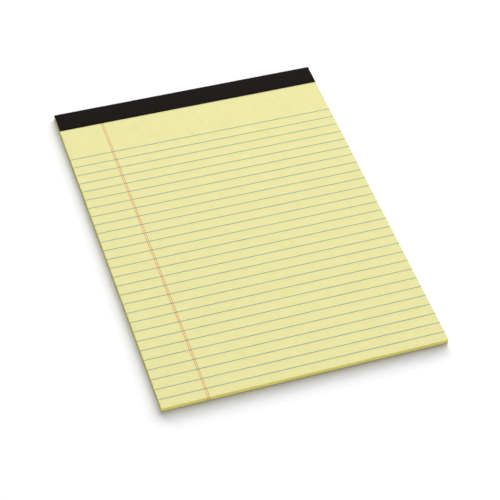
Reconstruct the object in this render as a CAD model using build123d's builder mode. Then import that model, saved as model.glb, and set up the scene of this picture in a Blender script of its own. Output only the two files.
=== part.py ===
# A legal pad: a block of ruled sheets on a backing board, stapled along the top edge under a
# folded binding tape. Lengths are in millimetres. The origin lies under the middle of the pad,
# +Y runs towards the bound edge and +Z runs up through the sheets.

import os

from build123d import *

# Sheets and backing board
sheet_width = 215.9
sheet_length = 298.45
sheet_thickness = 0.07
sheet_count = 50
board_thickness = 0.75

# Binding tape: its flaps are measured from the top edge of the sheets, and it is glued down
# hard enough to sink a little into the paper and the board
tape_thickness = 0.15
front_flap_length = 18.8
back_flap_length = 19.4
tape_seat_depth = 0.03
fold_radius = 0.3

# Flat wire staples under the tape, with their legs folded inwards on the back of the board
staple_count = 3
staple_pitch = 72.0
staple_inset = 9.5
crown_width = 12.0
wire_thickness = 0.45
wire_width = 0.6
wire_bend_radius = 0.4
leg_tip_gap = 2.4
wire_clearance = 0.02

# Print on the top sheet, as films of ink, made thicker than real ink so that they show
ink_thickness = 0.05
rule_width = 0.6
rule_spacing = 8.86
first_rule_drop = 51.5
least_foot_margin = 5.0
margin_line_count = 2
margin_line_width = 0.36
margin_line_pitch = 1.3
margin_line_inset = 34.35

# Levels, from the tape's back flap up
board_back_z = tape_thickness - tape_seat_depth
back_seat_z = tape_thickness
board_top_z = board_back_z + board_thickness
sheet_top_z = board_top_z + sheet_count * sheet_thickness
front_seat_z = sheet_top_z - tape_seat_depth

# Places along the pad, which is longer than its sheets by the tape over the top edge
foot_y = -(sheet_length + tape_thickness) / 2
head_y = foot_y + sheet_length
front_flap_y = head_y - front_flap_length
back_flap_y = head_y - back_flap_length
staple_y = head_y - staple_inset

# Places of the print
ruled_depth = sheet_length - first_rule_drop - least_foot_margin
rule_count = int(ruled_depth / rule_spacing) + 1
rules_mid_y = head_y - first_rule_drop - rule_spacing * (rule_count - 1) / 2
margin_mid_x = margin_line_inset - sheet_width / 2
margin_mid_y = (foot_y + front_flap_y) / 2
margin_line_length = front_flap_y - foot_y

# Middle of the staple wire on the front, under the tape, and on the back of the board
crown_z = front_seat_z - wire_thickness / 2
clench_z = back_seat_z + wire_thickness / 2


def staple_shape(clearance):
    """Bend one staple of flat wire, grown on all sides by a clearance."""
    leg_x = crown_width / 2
    tip_x = leg_tip_gap / 2 - clearance
    with BuildPart(mode=Mode.PRIVATE) as staple:
        with BuildSketch(Plane.XZ.offset(-staple_y)):
            with BuildLine():
                FilletPolyline(
                    (-tip_x, clench_z),
                    (-leg_x, clench_z),
                    (-leg_x, crown_z),
                    (leg_x, crown_z),
                    (leg_x, clench_z),
                    (tip_x, clench_z),
                    radius=wire_bend_radius,
                )
            trace(line_width=wire_thickness + 2 * clearance)
        extrude(amount=wire_width / 2 + clearance, both=True)
    return staple.part


def place_staples(shape, staple_mode):
    """Repeat a staple along the bound edge, or cut its seats there."""
    with GridLocations(staple_pitch, 0, staple_count, 1):
        add(shape, mode=staple_mode)


def margin_stripes(stripe_mode):
    """Draw the double margin line in the current sketch."""
    with Locations((margin_mid_x, margin_mid_y)):
        with GridLocations(margin_line_pitch, 0, margin_line_count, 1):
            Rectangle(margin_line_width, margin_line_length, mode=stripe_mode)


os.makedirs("parts", exist_ok=True)

# The sheets, as one block with a sunk seat for the tape and a crushed top corner
with BuildPart() as sheet_block:
    with BuildSketch(Plane.YZ) as block_section:
        with BuildLine():
            Polyline(
                (foot_y, board_top_z),
                (head_y, board_top_z),
                (head_y, front_seat_z),
                (front_flap_y, front_seat_z),
                (front_flap_y, sheet_top_z),
                (foot_y, sheet_top_z),
                close=True,
            )
        make_face()
        head_corners = block_section.vertices().group_by(Axis.X)[-1]
        fillet(head_corners.sort_by(Axis.Y)[-1], radius=fold_radius)
    extrude(amount=sheet_width / 2, both=True)
    place_staples(staple_shape(wire_clearance), Mode.SUBTRACT)
sheet_block.part.label = "sheet_block"
export_step(sheet_block.part, "parts/sheet_block.step")

# The backing board, with the same seat and crushed corner on its back
with BuildPart() as backing_board:
    with BuildSketch(Plane.YZ) as board_section:
        with BuildLine():
            Polyline(
                (foot_y, board_top_z),
                (head_y, board_top_z),
                (head_y, back_seat_z),
                (back_flap_y, back_seat_z),
                (back_flap_y, board_back_z),
                (foot_y, board_back_z),
                close=True,
            )
        make_face()
        head_corners = board_section.vertices().group_by(Axis.X)[-1]
        fillet(head_corners.sort_by(Axis.Y)[0], radius=fold_radius)
    extrude(amount=sheet_width / 2, both=True)
    place_staples(staple_shape(wire_clearance), Mode.SUBTRACT)
backing_board.part.label = "backing_board"
export_step(backing_board.part, "parts/backing_board.step")

# The binding tape, one strip folded round the crushed corners, drawn along its middle
half_tape = tape_thickness / 2
with BuildPart() as binding_tape:
    with BuildSketch(Plane.YZ):
        with BuildLine():
            FilletPolyline(
                (front_flap_y, front_seat_z + half_tape),
                (head_y + half_tape, front_seat_z + half_tape),
                (head_y + half_tape, back_seat_z - half_tape),
                (back_flap_y, back_seat_z - half_tape),
                radius=fold_radius + half_tape,
            )
        trace(line_width=tape_thickness)
    extrude(amount=sheet_width / 2, both=True)
binding_tape.part.label = "binding_tape"
export_step(binding_tape.part, "parts/binding_tape.step")

# The staples, in the seats that were cut for them
with BuildPart() as staples:
    place_staples(staple_shape(clearance=0), Mode.ADD)
staples.part.label = "staples"
export_step(staples.part, "parts/staples.step")

# The ruled lines, broken where the margin lines cross them
with BuildPart() as ruled_lines:
    with BuildSketch(Plane.XY.offset(sheet_top_z)):
        with Locations((0, rules_mid_y)):
            with GridLocations(0, rule_spacing, 1, rule_count):
                Rectangle(sheet_width, rule_width)
        margin_stripes(Mode.SUBTRACT)
    extrude(amount=ink_thickness)
ruled_lines.part.label = "ruled_lines"
export_step(ruled_lines.part, "parts/ruled_lines.step")

# The double margin line, from the tape to the foot of the sheet
with BuildPart() as margin_lines:
    with BuildSketch(Plane.XY.offset(sheet_top_z)):
        margin_stripes(Mode.ADD)
    extrude(amount=ink_thickness)
margin_lines.part.label = "margin_lines"
export_step(margin_lines.part, "parts/margin_lines.step")
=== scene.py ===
import math

import bmesh
import bpy
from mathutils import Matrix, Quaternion, Vector


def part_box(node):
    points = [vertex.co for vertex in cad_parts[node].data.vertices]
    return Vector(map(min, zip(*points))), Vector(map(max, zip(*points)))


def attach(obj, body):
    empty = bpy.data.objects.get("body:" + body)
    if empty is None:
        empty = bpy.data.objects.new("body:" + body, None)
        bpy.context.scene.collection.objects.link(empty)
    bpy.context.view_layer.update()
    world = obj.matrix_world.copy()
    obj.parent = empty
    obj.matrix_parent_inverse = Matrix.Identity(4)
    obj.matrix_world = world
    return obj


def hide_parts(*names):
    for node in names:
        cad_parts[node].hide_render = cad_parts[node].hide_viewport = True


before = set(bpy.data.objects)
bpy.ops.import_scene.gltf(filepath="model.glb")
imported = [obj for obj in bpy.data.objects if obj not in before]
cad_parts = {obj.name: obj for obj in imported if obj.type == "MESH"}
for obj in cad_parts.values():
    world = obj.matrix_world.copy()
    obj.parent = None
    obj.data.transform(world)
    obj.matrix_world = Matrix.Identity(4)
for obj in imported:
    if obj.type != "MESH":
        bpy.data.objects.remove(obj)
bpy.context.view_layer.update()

# A legal pad on a pale floor. The backing board, the staples and the print are the nodes of the
# frame with better finishes. The sheets are laid one by one in place of the plain block, with the
# tear-off line cut into them, and the binding tape is folded over them as a finer mesh.

MM = 0.001
PIECES_BODY = "root"

# Places and sizes, read from the frame
block_low, block_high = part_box("sheet_block")
tape_low, tape_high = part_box("binding_tape")
rules_low, rules_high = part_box("ruled_lines")
margins_low, margins_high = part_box("margin_lines")
sheet_width = block_high.x - block_low.x
sheet_length = block_high.y - block_low.y
page_mid_y = (block_low.y + block_high.y) / 2
head_y = block_high.y
page_z = block_high.z
front_flap_y = margins_high.y
back_flap_y = tape_low.y
tape_thickness = tape_high.y - head_y

# The sheets and the tear-off line just below the tape
sheet_count = 50
sheet_pitch = (block_high.z - block_low.z) / sheet_count
paper_share = 0.94
edge_play = 0.07 * MM
sheet_turn = math.radians(0.006)
sheet_seed = 11
slit_length = 1.3 * MM
slit_pitch = 2.1 * MM
slit_width = 0.09 * MM
sheets_slit = 3.5
slit_depth = sheets_slit * sheet_pitch
slit_drop = 0.55 * MM
upright_limit = 0.5
TONE_ATTRIBUTE = "sheet_tone"

# Where the pile's faces lie on the map that its finishes are baked through
BAKE_MAP = "OFBake"
BAKE_MARGIN = 0.004
FOOT_BAND = (0.01, 0.12)
LEFT_BAND = (0.13, 0.24)
RIGHT_BAND = (0.25, 0.36)
HIDDEN_BAND = (0.37, 0.39)
PAGE_BAND = (0.40, 0.996)
edge_zone = 1 * MM
page_tolerance = 0.001 * MM

# The tape's folds, and how its cut edges wander
head_fold_radius = 0.3 * MM
tape_fold_radius = 0.45 * MM
fold_steps = 8
tape_columns = 160
edge_wander = 0.03 * MM
long_wave_length = 31 * MM
short_wave_length = 7.3 * MM
long_wave_share = 0.7
front_phase = 0.4
back_phase = 2.1
tape_edge_rounding = 0.03 * MM
rounding_steps = 2
sharp_angle = math.radians(50)

# Spacing of the print, and the ends of its lines on the cut edges
rule_count = 28
rule_width = 0.6 * MM
margin_line_width = 0.36 * MM
rule_spacing = (rules_high.y - rules_low.y - rule_width) / (rule_count - 1)
first_rule_y = rules_high.y - rule_width / 2
margin_line_places = (
    margins_low.x + margin_line_width / 2,
    margins_high.x - margin_line_width / 2,
)
margin_tick_reach = 0.7 * margin_line_width
tick_slip = 0.3 * MM
rule_tick_share = 0.55
margin_tick_share = 0.85

# Colours, in linear light
PAPER_LIGHT = (0.859, 0.807, 0.357)
PAPER_DARK = (0.814, 0.762, 0.327)
EDGE_LIGHT = (0.81, 0.73, 0.187)
EDGE_DARK = (0.715, 0.634, 0.144)
RULE_INK = (0.205, 0.357, 0.31)
MARGIN_INK = (0.735, 0.166, 0.08)
CROSSED_INK = (0.20, 0.075, 0.085)
RULE_TICK = (0.40, 0.50, 0.30)
MARGIN_TICK = (0.48, 0.13, 0.04)
TAPE_BLACK = (0.0067, 0.0045, 0.0040)
TAPE_WORN = (0.0114, 0.0088, 0.0080)
BOARD_GREY = (0.305, 0.242, 0.171)
BOARD_LIGHT = (0.43, 0.365, 0.28)
BOARD_DARK = (0.15, 0.112, 0.075)
STEEL_GREY = (0.56, 0.56, 0.57)
STEEL_DARK = (0.36, 0.36, 0.37)

# Sizes of the grain in the finishes, and depths of its relief
cloud_size = 6 * MM
fibre_size = 0.35 * MM
tooth_size = 0.16 * MM
tooth_depth = 0.012 * MM
dust_size = 0.3 * MM
dust_depth = 0.02 * MM
rule_ink_grain = 0.3 * MM
rule_ink_flow = 18 * MM
margin_ink_grain = 0.28 * MM
tape_grain = 0.3 * MM
tape_grain_depth = 0.05 * MM
tape_patch_size = 9 * MM
fold_rub_width = 0.6 * MM
pulp_size = 2.5 * MM
pulp_depth = 0.03 * MM
light_fleck_size = 0.8 * MM
dark_fleck_size = 0.7 * MM
streak_size = 0.12 * MM
streak_depth = 0.004 * MM

# How much each kind of grain tells in the colour
cloud_share = 0.55
sheet_tone_share = 0.6
MIDDLE_TONE = 0.5
rule_bare_share = 0.26
rule_flow_share = 0.06
margin_bare_share = 0.24
tape_grain_share = 0.35
fold_rub_share = 0.8
pulp_share = 0.35
light_fleck_share = 0.7
dark_fleck_share = 0.75

# The ranges that noise is read over: nearly all of it, its middle, and where marks begin and end
NOISE_RANGE = (0.2, 0.8)
NOISE_MIDDLE = (0.3, 0.7)
INK_GAPS = (0.3, 0.75)
RUBBED_PATCHES = (0.35, 0.65)
LIGHT_FLECKS = (0.62, 0.72)
DARK_FLECKS = (0.63, 0.73)

# Roughness of each finish, from its smoothest to its roughest spots
PAPER_ROUGHNESS = (0.82, 0.95)
EDGE_ROUGHNESS = (0.85, 0.97)
INK_ROUGHNESS = (0.7, 0.85)
TAPE_ROUGHNESS = (0.68, 0.84)
BOARD_ROUGHNESS = (0.85, 0.97)
STEEL_ROUGHNESS = (0.28, 0.45)


def feed(tree, source, socket):
    """Give a node's input a plain value or another node's output."""
    if isinstance(source, bpy.types.NodeSocket):
        tree.links.new(source, socket)
    else:
        socket.default_value = source


def add_node(tree, kind, feeds=None, **settings):
    """Add a node with its settings, and feed its inputs by name."""
    node = tree.nodes.new(kind)
    for name, value in settings.items():
        setattr(node, name, value)
    for name, source in (feeds or {}).items():
        feed(tree, source, node.inputs[name])
    return node


def calculate(tree, operation, *values, clamp=False):
    """Add a Math node and return its result."""
    node = add_node(tree, "ShaderNodeMath", operation=operation, use_clamp=clamp)
    for value, socket in zip(values, node.inputs):
        feed(tree, value, socket)
    return node.outputs[0]


def opaque(colour):
    """A colour with its alpha, for a colour socket."""
    return (*colour, 1.0)


def blend_colours(tree, share, first, second):
    """Mix two colours, each a plain colour or another node's output."""
    node = add_node(tree, "ShaderNodeMix", data_type="RGBA")
    for name, source in (("Factor_Float", share), ("A_Color", first), ("B_Color", second)):
        socket = next(s for s in node.inputs if s.identifier == name)
        feed(tree, opaque(source) if isinstance(source, tuple) else source, socket)
    return next(s for s in node.outputs if s.identifier == "Result_Color")


# Finishes

class Finish:
    """A material in the making, with short forms for the nodes that the finishes share."""

    def __init__(self, name):
        self.material = bpy.data.materials.new(name)
        self.material.use_nodes = True
        self.tree = self.material.node_tree
        self.shader = self.tree.nodes["Principled BSDF"]
        self.place = add_node(self.tree, "ShaderNodeTexCoord").outputs["Object"]

    def set(self, **sockets):
        """Feed inputs of the shader, named with underscores for spaces."""
        for name, source in sockets.items():
            feed(self.tree, source, self.shader.inputs[name.replace("_", " ")])

    def noise(self, grain, detail=2.0, roughness=0.5, stretch=(1, 1, 1)):
        """Smooth noise whose grains have that size, drawn out along the axes by a stretch."""
        scale = tuple(1 / (grain * part) for part in stretch)
        mapped = add_node(self.tree, "ShaderNodeMapping", {"Vector": self.place, "Scale": scale})
        feeds = {"Vector": mapped.outputs[0], "Scale": 1.0, "Detail": detail, "Roughness": roughness}
        return add_node(self.tree, "ShaderNodeTexNoise", feeds).outputs[0]

    def calculate(self, operation, *values, clamp=False):
        """A Math node of this material."""
        return calculate(self.tree, operation, *values, clamp=clamp)

    def blend(self, share, first, second):
        """A mix of two colours in this material."""
        return blend_colours(self.tree, share, first, second)

    def weigh(self, share, first, second):
        """Add up two values, the first by its share and the second by the rest."""
        first_part = self.calculate("MULTIPLY", first, share)
        return self.calculate("ADD", first_part, self.calculate("MULTIPLY", second, 1 - share))

    def ramp(self, value, low, high, to_low=0.0, to_high=1.0):
        """Take a value from one range to another, and no further."""
        feeds = {"Value": value, "From Min": low, "From Max": high, "To Min": to_low, "To Max": to_high}
        return add_node(self.tree, "ShaderNodeMapRange", feeds).outputs[0]

    def roughen(self, noise, smoothest, roughest):
        """A roughness that goes with a noise."""
        return self.ramp(noise, *NOISE_RANGE, smoothest, roughest)

    def axis(self, name):
        """One of the three Object coordinates."""
        return add_node(self.tree, "ShaderNodeSeparateXYZ", {"Vector": self.place}).outputs[name]

    def attribute(self, name):
        """A value that the piece carries at each of its points."""
        return add_node(self.tree, "ShaderNodeAttribute", attribute_name=name).outputs["Fac"]

    def relief(self, height, depth, strength=1.0):
        """Raise and lower the surface by a height from 0 to 1 times a depth."""
        feeds = {"Height": height, "Distance": depth, "Strength": strength}
        self.set(Normal=add_node(self.tree, "ShaderNodeBump", feeds).outputs[0])

    def near_rule(self, along, half_width):
        """1 within half a width of a ruled line, counted along the page, and 0 elsewhere."""
        steps = self.calculate("DIVIDE", self.calculate("SUBTRACT", first_rule_y, along), rule_spacing)
        nearest = self.calculate("MINIMUM", self.calculate("ROUND", steps), rule_count - 1)
        nearest = self.calculate("MAXIMUM", nearest, 0)
        off = self.calculate("ABSOLUTE", self.calculate("SUBTRACT", steps, nearest))
        distance = self.calculate("MULTIPLY", off, rule_spacing)
        return self.calculate("LESS_THAN", distance, half_width)


def canary_paper():
    """Uncoated yellow writing paper: cloudy formation, short fibres and a fine tooth."""
    paper = Finish("canary_paper")
    clouds = paper.noise(cloud_size, detail=3)
    fibres = paper.noise(fibre_size, detail=3, roughness=0.65, stretch=(1, 2.2, 1))
    shade = paper.ramp(paper.weigh(cloud_share, clouds, fibres), *NOISE_MIDDLE)
    paper.set(
        Base_Color=paper.blend(shade, PAPER_DARK, PAPER_LIGHT),
        Roughness=paper.roughen(fibres, *PAPER_ROUGHNESS),
        Specular_IOR_Level=0.2,
    )
    paper.relief(paper.noise(tooth_size), tooth_depth, strength=0.5)
    return paper.material


def cut_paper():
    """The cut edges of the sheets, deeper in colour, with the ends of the printed lines."""
    edge = Finish("cut_paper_edges")
    across = edge.axis("X")
    along = edge.axis("Y")
    sheet_tone = edge.attribute(TONE_ATTRIBUTE)
    dust = edge.noise(dust_size)
    colour = edge.blend(edge.weigh(sheet_tone_share, sheet_tone, dust), EDGE_DARK, EDGE_LIGHT)

    # The lines end a little differently on each sheet
    slip = edge.calculate("MULTIPLY", edge.calculate("SUBTRACT", sheet_tone, MIDDLE_TONE), tick_slip)
    rule_end = edge.near_rule(edge.calculate("ADD", along, slip), rule_width / 2)
    from_middle = edge.calculate("ABSOLUTE", across)
    on_side = edge.calculate("GREATER_THAN", from_middle, sheet_width / 2 - edge_zone)
    rule_tick = edge.calculate("MULTIPLY", rule_end, on_side)
    colour = edge.blend(edge.calculate("MULTIPLY", rule_tick, rule_tick_share), colour, RULE_TICK)

    on_foot = edge.calculate("LESS_THAN", along, block_low.y + edge_zone)
    slipped_across = edge.calculate("ADD", across, slip)
    for place in margin_line_places:
        distance = edge.calculate("ABSOLUTE", edge.calculate("SUBTRACT", slipped_across, place))
        line_end = edge.calculate("LESS_THAN", distance, margin_tick_reach)
        margin_tick = edge.calculate("MULTIPLY", line_end, on_foot)
        colour = edge.blend(edge.calculate("MULTIPLY", margin_tick, margin_tick_share), colour, MARGIN_TICK)

    edge.set(
        Base_Color=colour,
        Roughness=edge.roughen(dust, *EDGE_ROUGHNESS),
        Specular_IOR_Level=0.1,
    )
    edge.relief(dust, dust_depth, strength=0.6)
    return edge.material


def rule_ink():
    """Thin blue ink, a little uneven where the paper's fibres took less of it."""
    ink = Finish("rule_ink")
    density = ink.noise(rule_ink_grain, detail=3, roughness=0.6)
    flow = ink.noise(rule_ink_flow, detail=1)
    uneven = ink.ramp(density, *INK_GAPS, to_high=rule_bare_share)
    flowing = ink.ramp(flow, *NOISE_MIDDLE, -rule_flow_share, rule_flow_share)
    bare = ink.calculate("ADD", uneven, flowing, clamp=True)
    ink.set(
        Base_Color=ink.blend(bare, RULE_INK, PAPER_LIGHT),
        Roughness=ink.roughen(density, *INK_ROUGHNESS),
        Specular_IOR_Level=0.2,
    )
    return ink.material


def margin_ink():
    """Thin red ink, darker where the blue lines run under it."""
    ink = Finish("margin_ink")
    density = ink.noise(margin_ink_grain, detail=3, roughness=0.6)
    bare = ink.ramp(density, *INK_GAPS, to_high=margin_bare_share)
    crossed = ink.near_rule(ink.axis("Y"), rule_width / 2)
    ink.set(
        Base_Color=ink.blend(crossed, ink.blend(bare, MARGIN_INK, PAPER_LIGHT), CROSSED_INK),
        Roughness=ink.roughen(density, *INK_ROUGHNESS),
        Specular_IOR_Level=0.2,
    )
    return ink.material


def black_tape():
    """Matt black paper tape with a fine grain, rubbed a little along the fold."""
    tape = Finish("black_tape")
    grain = tape.noise(tape_grain, detail=4, roughness=0.65, stretch=(1.5, 1, 1))
    patches = tape.noise(tape_patch_size)
    fold = tape.ramp(tape.axis("Y"), head_y - fold_rub_width, head_y, to_high=fold_rub_share)
    rub = tape.calculate("MULTIPLY", fold, tape.ramp(patches, *RUBBED_PATCHES))
    worn = tape.calculate("ADD", tape.calculate("MULTIPLY", grain, tape_grain_share), rub, clamp=True)
    tape.set(
        Base_Color=tape.blend(worn, TAPE_BLACK, TAPE_WORN),
        Roughness=tape.roughen(grain, *TAPE_ROUGHNESS),
        Specular_IOR_Level=0.02,
    )
    tape.relief(grain, tape_grain_depth, strength=0.8)
    return tape.material


def chipboard():
    """Grey-brown board of recycled fibre, with light and dark flecks."""
    board = Finish("chipboard")
    pulp = board.noise(pulp_size, detail=4, roughness=0.65)
    light_flecks = board.noise(light_fleck_size, stretch=(2.4, 1, 1))
    dark_flecks = board.noise(dark_fleck_size, stretch=(1, 2.6, 1))
    pale = board.ramp(pulp, *NOISE_MIDDLE, to_high=pulp_share)
    light = board.ramp(light_flecks, *LIGHT_FLECKS, to_high=light_fleck_share)
    dark = board.ramp(dark_flecks, *DARK_FLECKS, to_high=dark_fleck_share)
    colour = board.blend(pale, BOARD_GREY, BOARD_LIGHT)
    colour = board.blend(light, colour, BOARD_LIGHT)
    colour = board.blend(dark, colour, BOARD_DARK)
    board.set(
        Base_Color=colour,
        Roughness=board.roughen(pulp, *BOARD_ROUGHNESS),
        Specular_IOR_Level=0.15,
    )
    board.relief(pulp, pulp_depth, strength=0.5)
    return board.material


def steel_wire():
    """Galvanised wire, drawn along its length."""
    steel = Finish("steel_wire")
    streaks = steel.noise(streak_size, stretch=(14, 1, 1))
    steel.set(
        Base_Color=steel.blend(streaks, STEEL_DARK, STEEL_GREY),
        Metallic=1.0,
        Roughness=steel.roughen(streaks, *STEEL_ROUGHNESS),
    )
    steel.relief(streaks, streak_depth, strength=0.4)
    return steel.material


# Geometry Nodes

def new_tree(name, inputs):
    """A Geometry Nodes tree with named inputs. Returns it with its inputs' outlets and identifiers."""
    tree = bpy.data.node_groups.new(name, "GeometryNodeTree")
    identifiers = {}
    for label, kind in inputs.items():
        socket = tree.interface.new_socket(label, in_out="INPUT", socket_type="NodeSocket" + kind)
        identifiers[label] = socket.identifier
    tree.interface.new_socket("Geometry", in_out="OUTPUT", socket_type="NodeSocketGeometry")
    outlets = tree.nodes.new("NodeGroupInput").outputs
    return tree, outlets, identifiers


def finish_tree(tree, geometry):
    """Send a geometry to the tree's output."""
    feed(tree, geometry, tree.nodes.new("NodeGroupOutput").inputs[0])


def grow_piece(name, tree, identifiers, values):
    """Run a tree with the given values, and keep what it makes as a plain mesh."""
    seed_object = bpy.data.objects.new(name + "_tree", bpy.data.meshes.new(name + "_tree"))
    bpy.context.scene.collection.objects.link(seed_object)
    modifier = seed_object.modifiers.new(name, "NODES")
    modifier.node_group = tree
    for label, value in values.items():
        modifier[identifiers[label]] = value
    depsgraph = bpy.context.evaluated_depsgraph_get()
    mesh = bpy.data.meshes.new_from_object(seed_object.evaluated_get(depsgraph))
    bpy.data.objects.remove(seed_object)
    mesh.name = name
    piece = bpy.data.objects.new(name, mesh)
    bpy.context.scene.collection.objects.link(piece)
    return piece


def combine(tree, x=0.0, y=0.0, z=0.0):
    """A vector of three values."""
    return add_node(tree, "ShaderNodeCombineXYZ", {"X": x, "Y": y, "Z": z}).outputs[0]


def row_of_boxes(tree, count, start, step, size, rotation=None, scale=None):
    """Boxes of one size in a row, as a plain mesh."""
    row = add_node(tree, "GeometryNodeMeshLine", {
        "Count": count,
        "Start Location": start,
        "Offset": step,
    })
    box = add_node(tree, "GeometryNodeMeshCube", {"Size": size})
    feeds = {"Points": row.outputs["Mesh"], "Instance": box.outputs["Mesh"]}
    if rotation is not None:
        feeds["Rotation"] = rotation
    if scale is not None:
        feeds["Scale"] = scale
    placed = add_node(tree, "GeometryNodeInstanceOnPoints", feeds)
    real = add_node(tree, "GeometryNodeRealizeInstances", {"Geometry": placed.outputs["Instances"]})
    return real.outputs["Geometry"]


def random_value(tree, kind, low, high, seed, identity=None):
    """A random value for each element, from a fixed seed."""
    node = add_node(tree, "FunctionNodeRandomValue", {"Seed": seed}, data_type=kind)
    sockets = [s for s in node.inputs if s.enabled and s.name in ("Min", "Max")]
    for socket, value in zip(sockets, (low, high)):
        feed(tree, value, socket)
    if identity is not None:
        feed(tree, identity, node.inputs["ID"])
    return next(s for s in node.outputs if s.enabled)


def sheet_tree():
    """Sheets piled up one by one, slit along the tear-off line and crushed at the bound edge."""
    tree, sizes, identifiers = new_tree("sheet_stack", {
        "Sheet Count": "Int",
        "Sheet Width": "Float",
        "Sheet Length": "Float",
        "Sheet Pitch": "Float",
        "Paper Share": "Float",
        "Edge Play": "Float",
        "Sheet Turn": "Float",
        "Middle Y": "Float",
        "Bottom Z": "Float",
        "Head Y": "Float",
        "Fold Radius": "Float",
        "Slit Count": "Int",
        "Slit Length": "Float",
        "Slit Pitch": "Float",
        "Slit Width": "Float",
        "Slit Depth": "Float",
        "Slit Y": "Float",
        "Seed": "Int",
        "Page Finish": "Material",
        "Edge Finish": "Material",
    })

    def sum_of(first, second):
        return calculate(tree, "ADD", first, second)

    def product(first, second):
        return calculate(tree, "MULTIPLY", first, second)

    def difference(first, second):
        return calculate(tree, "SUBTRACT", first, second)

    def quotient(first, second):
        return calculate(tree, "DIVIDE", first, second)

    def scale_without(spare, size):
        return difference(1, quotient(spare, size))

    top_z = sum_of(sizes["Bottom Z"], product(sizes["Sheet Count"], sizes["Sheet Pitch"]))
    thickness = product(sizes["Sheet Pitch"], sizes["Paper Share"])

    # The pile, where every sheet but the top one lies a little askew inside the outline
    index = tree.nodes.new("GeometryNodeInputIndex").outputs[0]
    last = difference(sizes["Sheet Count"], 1)
    below_top = calculate(tree, "LESS_THAN", index, last)
    turn_limit = product(sizes["Sheet Turn"], below_top)
    turn = random_value(tree, "FLOAT", product(turn_limit, -1), turn_limit, sizes["Seed"])
    play = product(sizes["Edge Play"], below_top)
    room_across = product(turn_limit, sizes["Sheet Length"])
    room_along = product(turn_limit, sizes["Sheet Width"])
    smallest = combine(
        tree,
        scale_without(sum_of(room_across, play), sizes["Sheet Width"]),
        scale_without(sum_of(room_along, play), sizes["Sheet Length"]),
        1.0,
    )
    largest = combine(
        tree,
        scale_without(room_across, sizes["Sheet Width"]),
        scale_without(room_along, sizes["Sheet Length"]),
        1.0,
    )
    shrink = random_value(tree, "FLOAT_VECTOR", smallest, largest, sum_of(sizes["Seed"], 1))
    below_page = sum_of(product(last, sizes["Sheet Pitch"]), quotient(thickness, 2))
    pile = row_of_boxes(
        tree,
        sizes["Sheet Count"],
        combine(tree, 0.0, sizes["Middle Y"], difference(top_z, below_page)),
        combine(tree, 0.0, 0.0, sizes["Sheet Pitch"]),
        combine(tree, sizes["Sheet Width"], sizes["Sheet Length"], thickness),
        rotation=combine(tree, 0.0, 0.0, turn),
        scale=shrink,
    )

    # The tear-off line, cut through the uppermost sheets
    row_length = product(difference(sizes["Slit Count"], 1), sizes["Slit Pitch"])
    cutters = row_of_boxes(
        tree,
        sizes["Slit Count"],
        combine(tree, quotient(row_length, -2), sizes["Slit Y"], top_z),
        combine(tree, sizes["Slit Pitch"], 0.0, 0.0),
        combine(tree, sizes["Slit Length"], sizes["Slit Width"], product(sizes["Slit Depth"], 2)),
    )
    cut = add_node(tree, "GeometryNodeMeshBoolean", {"Mesh 1": pile, "Mesh 2": cutters},
                   operation="DIFFERENCE", solver="EXACT")

    # The head of the pile follows the fold of the tape
    position = tree.nodes.new("GeometryNodeInputPosition").outputs[0]
    x, y, z = add_node(tree, "ShaderNodeSeparateXYZ", {"Vector": position}).outputs
    radius = sizes["Fold Radius"]
    climb = calculate(tree, "MAXIMUM", difference(z, difference(top_z, radius)), 0.0)
    reach_squared = difference(product(radius, radius), product(climb, climb))
    reach = calculate(tree, "SQRT", calculate(tree, "MAXIMUM", reach_squared, 0.0))
    limit = sum_of(difference(sizes["Head Y"], radius), reach)
    crushed = add_node(tree, "GeometryNodeSetPosition", {
        "Geometry": cut.outputs["Mesh"],
        "Position": combine(tree, x, calculate(tree, "MINIMUM", y, limit), z),
    })

    # A tone of its own for each sheet, and another finish on the cut edges
    level = calculate(tree, "FLOOR", quotient(difference(z, sizes["Bottom Z"]), sizes["Sheet Pitch"]))
    tone = random_value(tree, "FLOAT", 0.0, 1.0, sum_of(sizes["Seed"], 2), identity=level)
    toned = add_node(tree, "GeometryNodeStoreNamedAttribute", {
        "Geometry": crushed.outputs["Geometry"],
        "Name": TONE_ATTRIBUTE,
        "Value": tone,
    }, data_type="FLOAT", domain="POINT")
    real = add_node(tree, "GeometryNodeRealizeInstances", {"Geometry": toned.outputs["Geometry"]})
    pages = add_node(tree, "GeometryNodeSetMaterial", {
        "Geometry": real.outputs["Geometry"],
        "Material": sizes["Page Finish"],
    })
    normal = tree.nodes.new("GeometryNodeInputNormal").outputs[0]
    facing = add_node(tree, "ShaderNodeSeparateXYZ", {"Vector": normal}).outputs["Z"]
    upright = calculate(tree, "LESS_THAN", calculate(tree, "ABSOLUTE", facing), upright_limit)
    edges = add_node(tree, "GeometryNodeSetMaterial", {
        "Geometry": pages.outputs["Geometry"],
        "Selection": upright,
        "Material": sizes["Edge Finish"],
    })
    finish_tree(tree, edges.outputs["Geometry"])
    return tree, identifiers


stack_tree, stack_inputs = sheet_tree()
sheet_stack = grow_piece("sheet_stack", stack_tree, stack_inputs, {
    "Sheet Count": sheet_count,
    "Sheet Width": sheet_width,
    "Sheet Length": sheet_length,
    "Sheet Pitch": sheet_pitch,
    "Paper Share": paper_share,
    "Edge Play": edge_play,
    "Sheet Turn": sheet_turn,
    "Middle Y": page_mid_y,
    "Bottom Z": block_low.z,
    "Head Y": head_y,
    "Fold Radius": head_fold_radius,
    "Slit Count": int(sheet_width / slit_pitch),
    "Slit Length": slit_length,
    "Slit Pitch": slit_pitch,
    "Slit Width": slit_width,
    "Slit Depth": slit_depth,
    "Slit Y": front_flap_y - slit_drop,
    "Seed": sheet_seed,
    "Page Finish": canary_paper(),
    "Edge Finish": cut_paper(),
})


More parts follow.
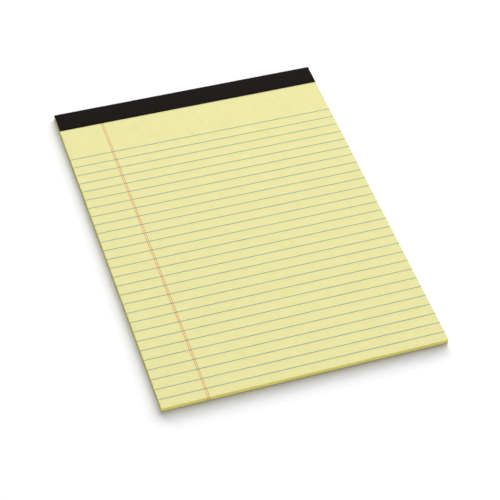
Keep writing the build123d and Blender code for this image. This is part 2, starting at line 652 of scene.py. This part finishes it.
def lay_out_bake_map(mesh):
    """Give the pile a map to bake through: its page wide, its cut edges in bands, the rest small."""
    bake_map = mesh.uv_layers.new(name=BAKE_MAP)
    for face in mesh.polygons:
        middle = face.center
        if middle.z > page_z - page_tolerance:
            band = PAGE_BAND
        elif middle.x < block_low.x + edge_zone:
            band = LEFT_BAND
        elif middle.x > block_high.x - edge_zone:
            band = RIGHT_BAND
        elif middle.y < block_low.y + edge_zone:
            band = FOOT_BAND
        else:
            band = HIDDEN_BAND
        low, high = band
        for corner in face.loop_indices:
            place = mesh.vertices[mesh.loops[corner].vertex_index].co
            across = (place.x - block_low.x) / sheet_width
            along = (place.y - block_low.y) / sheet_length
            up = (place.z - block_low.z) / (page_z - block_low.z)
            run = across if band == FOOT_BAND else along
            rise = across if band in (PAGE_BAND, HIDDEN_BAND) else up
            map_run = BAKE_MARGIN + (1 - 2 * BAKE_MARGIN) * run
            bake_map.data[corner].uv = (map_run, low + (high - low) * rise)


lay_out_bake_map(sheet_stack.data)
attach(sheet_stack, PIECES_BODY)
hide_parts("sheet_block")


# Binding tape

def fold_line(front_z, over_y, back_z, radius, front_end_y, back_end_y):
    """One face of the tape as points from its front edge over the head to its back edge."""
    quarter = [math.pi / 2 * step / fold_steps for step in range(fold_steps + 1)]
    points = [(front_end_y, front_z)]
    for angle in quarter:
        points.append((over_y - radius + radius * math.sin(angle),
                       front_z - radius + radius * math.cos(angle)))
    for angle in quarter:
        points.append((over_y - radius + radius * math.cos(angle),
                       back_z + radius - radius * math.sin(angle)))
    points.append((back_end_y, back_z))
    return points


def wander(x, phase):
    """How far the tape's cut edge strays from a straight line at a place across the pad."""
    long_wave = math.sin(x / long_wave_length + phase)
    short_wave = math.sin(x / short_wave_length + 2 * phase)
    return edge_wander * (long_wave_share * long_wave + (1 - long_wave_share) * short_wave - 1)


def make_tape():
    """The tape as one closed strip, folded round the head of the pad."""
    strip = bmesh.new()
    rings = []
    for column in range(tape_columns + 1):
        x = tape_low.x + (tape_high.x - tape_low.x) * column / tape_columns
        front_end_y = front_flap_y - wander(x, front_phase)
        back_end_y = back_flap_y - wander(x, back_phase)
        outside = fold_line(tape_high.z, tape_high.y, tape_low.z, tape_fold_radius,
                            front_end_y, back_end_y)
        inside = fold_line(page_z, head_y, tape_low.z + tape_thickness, head_fold_radius,
                           front_end_y, back_end_y)
        section = outside + inside[::-1]
        rings.append([strip.verts.new((x, y, z)) for y, z in section])
    for ring, following in zip(rings, rings[1:]):
        for corner in range(len(ring)):
            before = corner - 1
            strip.faces.new((ring[before], ring[corner], following[corner], following[before]))
    half = len(rings[0]) // 2
    for ring in (rings[0], rings[-1]):
        for step in range(half - 1):
            strip.faces.new((ring[step], ring[step + 1], ring[-2 - step], ring[-1 - step]))
    bmesh.ops.recalc_face_normals(strip, faces=strip.faces)
    data = bpy.data.meshes.new("tape_strip")
    strip.to_mesh(data)
    strip.free()
    data.materials.append(black_tape())
    data.polygons.foreach_set("use_smooth", [True] * len(data.polygons))
    data.set_sharp_from_angle(angle=sharp_angle)
    tape = bpy.data.objects.new("tape_strip", data)
    bpy.context.scene.collection.objects.link(tape)
    rounding = tape.modifiers.new("rounded_edges", "BEVEL")
    rounding.width = tape_edge_rounding
    rounding.segments = rounding_steps
    rounding.limit_method = "ANGLE"
    rounding.angle_limit = sharp_angle
    return tape


tape_strip = make_tape()
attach(tape_strip, PIECES_BODY)
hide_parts("binding_tape")

# Finishes of the nodes that stay
node_finishes = {
    "backing_board": chipboard(),
    "staples": steel_wire(),
    "ruled_lines": rule_ink(),
    "margin_lines": margin_ink(),
}
for node_name, finish in node_finishes.items():
    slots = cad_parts[node_name].data.materials
    slots.clear()
    slots.append(finish)


# Floor, light and camera

WHITE = (1.0, 1.0, 1.0)
FLOOR_BOUNCE = (0.9, 0.9, 0.9)
FLOOR_SEEN = (1.09, 1.075, 1.01)
SKY_LIGHT = (0.130, 0.146, 0.212)
floor_size = 8.0
shadow_reach = 0.24
white_reach = 0.42
lamp_distance = 5.0
low_share = 0.43
low_bearing = math.radians(22.7)
low_width = 10.7
low_foot = 0.66
low_top = 2.89
high_share = 0.36
high_bearing = math.radians(42)
high_width = 10.1
high_foot = 3.39
high_top = 7.7
fill_share = 0.072
fill_bearing = math.radians(198)
fill_height = math.radians(8)
fill_distance = 3.0
fill_width = 1.2

camera_lens = 120.387
camera_sensor = 36.0
camera_distance = 1.25144
camera_bearing = math.radians(-22.23)
camera_height = math.radians(48.807)
camera_roll = math.radians(4.761)
aim_across = -2.78 * MM
aim_along = -28.62 * MM


def seen_directly(tree):
    """1 for what the camera sees, also in metal or through glass, and 0 for light on its way."""
    path = tree.nodes.new("ShaderNodeLightPath").outputs
    reflected = calculate(tree, "MAXIMUM", path["Is Glossy Ray"], path["Is Transmission Ray"])
    return calculate(tree, "MAXIMUM", path["Is Camera Ray"], reflected)


def pale_floor():
    """A pale floor that keeps the pad's shadow and turns pure white further out."""
    finish = Finish("pale_floor")
    tree = finish.tree
    tree.nodes.remove(finish.shader)
    seen = seen_directly(tree)
    colour = finish.blend(seen, FLOOR_BOUNCE, FLOOR_SEEN)
    matt = add_node(tree, "ShaderNodeBsdfDiffuse", {"Color": colour})
    white = add_node(tree, "ShaderNodeEmission", {"Color": opaque(WHITE), "Strength": 1.0})
    distance = add_node(tree, "ShaderNodeVectorMath", {0: finish.place}, operation="LENGTH")
    far = finish.ramp(distance.outputs["Value"], shadow_reach, white_reach)
    share = finish.calculate("MULTIPLY", far, seen)
    mix = add_node(tree, "ShaderNodeMixShader", {0: share, 1: matt.outputs[0], 2: white.outputs[0]})
    feed(tree, mix.outputs[0], tree.nodes["Material Output"].inputs["Surface"])
    return finish.material


def lay_floor():
    """The floor under the pad."""
    half = floor_size / 2
    data = bpy.data.meshes.new("floor")
    corners = [(-half, -half, 0), (half, -half, 0), (half, half, 0), (-half, half, 0)]
    data.from_pydata(corners, [], [(0, 1, 2, 3)])
    data.materials.append(pale_floor())
    floor = bpy.data.objects.new("floor", data)
    bpy.context.scene.collection.objects.link(floor)


def light_world():
    """An even sky, a little cool, and white where it is seen."""
    world = bpy.data.worlds.new("studio")
    world.use_nodes = True
    bpy.context.scene.world = world
    tree = world.node_tree
    background = tree.nodes["Background"]
    feed(tree, blend_colours(tree, seen_directly(tree), SKY_LIGHT, WHITE), background.inputs["Color"])
    feed(tree, 1.0, background.inputs["Strength"])


def direction(bearing, height):
    """A unit vector at a bearing clockwise from +Y and a height above the floor."""
    return Vector((math.sin(bearing) * math.cos(height),
                   math.cos(bearing) * math.cos(height), math.sin(height)))


def hold_lamp(lamp, towards, place):
    """Put a lamp in its place, shining back along a direction and unseen itself."""
    holder = bpy.data.objects.new(lamp.name, lamp)
    holder.location = place
    holder.rotation_euler = towards.to_track_quat("Z", "Y").to_euler()
    holder.visible_camera = False
    bpy.context.scene.collection.objects.link(holder)


def glow_on_page(width, foot, top):
    """The share of an upright lamp's glow that reaches a level page."""
    def up_to(height):
        slant = math.hypot(1, height / lamp_distance)
        return math.atan(width / 2 / lamp_distance / slant) / slant
    return (up_to(foot) - up_to(top)) / math.pi


def stand_lamp(name, share, bearing, width, foot, top):
    """A wide soft lamp, standing upright behind the pad, that gives the page a share of its light."""
    lamp = bpy.data.lights.new(name, "AREA")
    lamp.shape = "RECTANGLE"
    lamp.size = width
    lamp.size_y = top - foot
    lamp.energy = share / glow_on_page(width, foot, top) * math.pi * lamp.size * lamp.size_y
    towards = direction(bearing, 0)
    hold_lamp(lamp, towards, towards * lamp_distance + Vector((0, 0, (foot + top) / 2)))


def hang_fill():
    """A faint low lamp in front, for the cut edges at the foot of the pad."""
    lamp = bpy.data.lights.new("fill", "AREA")
    lamp.shape = "DISK"
    lamp.size = fill_width
    lamp.energy = fill_share * (math.pi * fill_distance) ** 2 / math.sin(fill_height)
    towards = direction(fill_bearing, fill_height)
    hold_lamp(lamp, towards, towards * fill_distance)


def set_camera():
    """A long lens looking down on the page from the front left, tilted as the photograph is."""
    data = bpy.data.cameras.new("camera")
    data.sensor_width = camera_sensor
    data.lens = camera_lens
    back = direction(math.pi - camera_bearing, camera_height)
    aim = Vector((aim_across, page_mid_y + aim_along, page_z))
    camera = bpy.data.objects.new("camera", data)
    camera.location = aim + back * camera_distance
    level_view = (-back).to_track_quat("-Z", "Y")
    roll = Quaternion((0, 0, 1), camera_roll)
    camera.rotation_euler = (level_view @ roll).to_euler()
    bpy.context.scene.collection.objects.link(camera)
    bpy.context.scene.camera = camera


lay_floor()
light_world()
stand_lamp("low_lamp", low_share, low_bearing, low_width, low_foot, low_top)
stand_lamp("high_lamp", high_share, high_bearing, high_width, high_foot, high_top)
hang_fill()
set_camera()
bpy.context.scene.view_settings.view_transform = "Standard"
